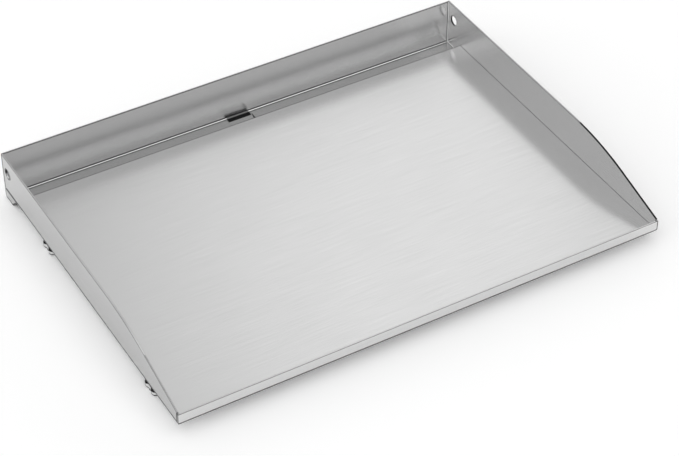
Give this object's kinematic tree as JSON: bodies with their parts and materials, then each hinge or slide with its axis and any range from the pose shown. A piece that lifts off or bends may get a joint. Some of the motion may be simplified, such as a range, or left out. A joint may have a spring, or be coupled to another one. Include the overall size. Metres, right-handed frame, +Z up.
{
  "type": "camp griddle plate",
  "caption": "Stainless camp griddle tray with an upturned front lip, sloping side walls, a tall back wall, a rear grease trough with a drain slot, and screw-down wing feet for levelling.",
  "frame": {"origin": "middle of the footprint, on the plane that the trough and the feet rest on", "axes": "+X to the right along the width, -Y to the front lip, +Z up"},
  "size_m": [0.61, 0.444, 0.0635],
  "materials": {
    "stainless_sheet": "brushed stainless sheet",
    "bright_steel": "turned and polished stainless"
  },
  "bodies": {
    "tray": {"cooking_plate": "stainless_sheet", "left_side_wall": "stainless_sheet", "right_side_wall": "stainless_sheet", "back_wall": "stainless_sheet", "grease_trough": "stainless_sheet", "left_trough_end": "stainless_sheet", "right_trough_end": "stainless_sheet", "front_stiffener": "stainless_sheet", "rear_stiffener": "stainless_sheet", "front_left_stud": "bright_steel", "front_right_stud": "bright_steel", "rear_left_stud": "bright_steel", "rear_right_stud": "bright_steel"},
    "front_left_pad": {"front_left_glide_pad": "bright_steel"},
    "front_left_wing": {"front_left_wing_foot": "bright_steel"},
    "front_right_pad": {"front_right_glide_pad": "bright_steel"},
    "front_right_wing": {"front_right_wing_foot": "bright_steel"},
    "rear_left_pad": {"rear_left_glide_pad": "bright_steel"},
    "rear_left_wing": {"rear_left_wing_foot": "bright_steel"},
    "rear_right_pad": {"rear_right_glide_pad": "bright_steel"},
    "rear_right_wing": {"rear_right_wing_foot": "bright_steel"}
  },
  "joints": [
    {"name": "front_left_pad_travel", "type": "slide", "parent": "tray", "child": "front_left_pad", "axis": [0, 0, -1], "range_m": [0, 0.003]},
    {"name": "front_left_wing_turn", "type": "hinge", "parent": "front_left_pad", "child": "front_left_wing", "pos_m": [-0.2995, -0.15, 0.005], "axis": [0, 0, -1], "range_deg": [0, 1530]},
    {"name": "front_right_pad_travel", "type": "slide", "parent": "tray", "child": "front_right_pad", "axis": [0, 0, -1], "range_m": [0, 0.003]},
    {"name": "front_right_wing_turn", "type": "hinge", "parent": "front_right_pad", "child": "front_right_wing", "pos_m": [0.2995, -0.15, 0.005], "axis": [0, 0, -1], "range_deg": [0, 1530]},
    {"name": "rear_left_pad_travel", "type": "slide", "parent": "tray", "child": "rear_left_pad", "axis": [0, 0, -1], "range_m": [0, 0.003]},
    {"name": "rear_left_wing_turn", "type": "hinge", "parent": "rear_left_pad", "child": "rear_left_wing", "pos_m": [-0.2995, 0.109, 0.005], "axis": [0, 0, -1], "range_deg": [0, 1530]},
    {"name": "rear_right_pad_travel", "type": "slide", "parent": "tray", "child": "rear_right_pad", "axis": [0, 0, -1], "range_m": [0, 0.003]},
    {"name": "rear_right_wing_turn", "type": "hinge", "parent": "rear_right_pad", "child": "rear_right_wing", "pos_m": [0.2995, 0.109, 0.005], "axis": [0, 0, -1], "range_deg": [0, 1530]}
  ],
  "couplings": [
    {"joint": "front_left_pad_travel", "follows": "front_left_wing_turn", "m_per_rad": 0.00011141},
    {"joint": "front_right_pad_travel", "follows": "front_right_wing_turn", "m_per_rad": 0.00011141},
    {"joint": "rear_left_pad_travel", "follows": "rear_left_wing_turn", "m_per_rad": 0.00011141},
    {"joint": "rear_right_pad_travel", "follows": "rear_right_wing_turn", "m_per_rad": 0.00011141}
  ]
}
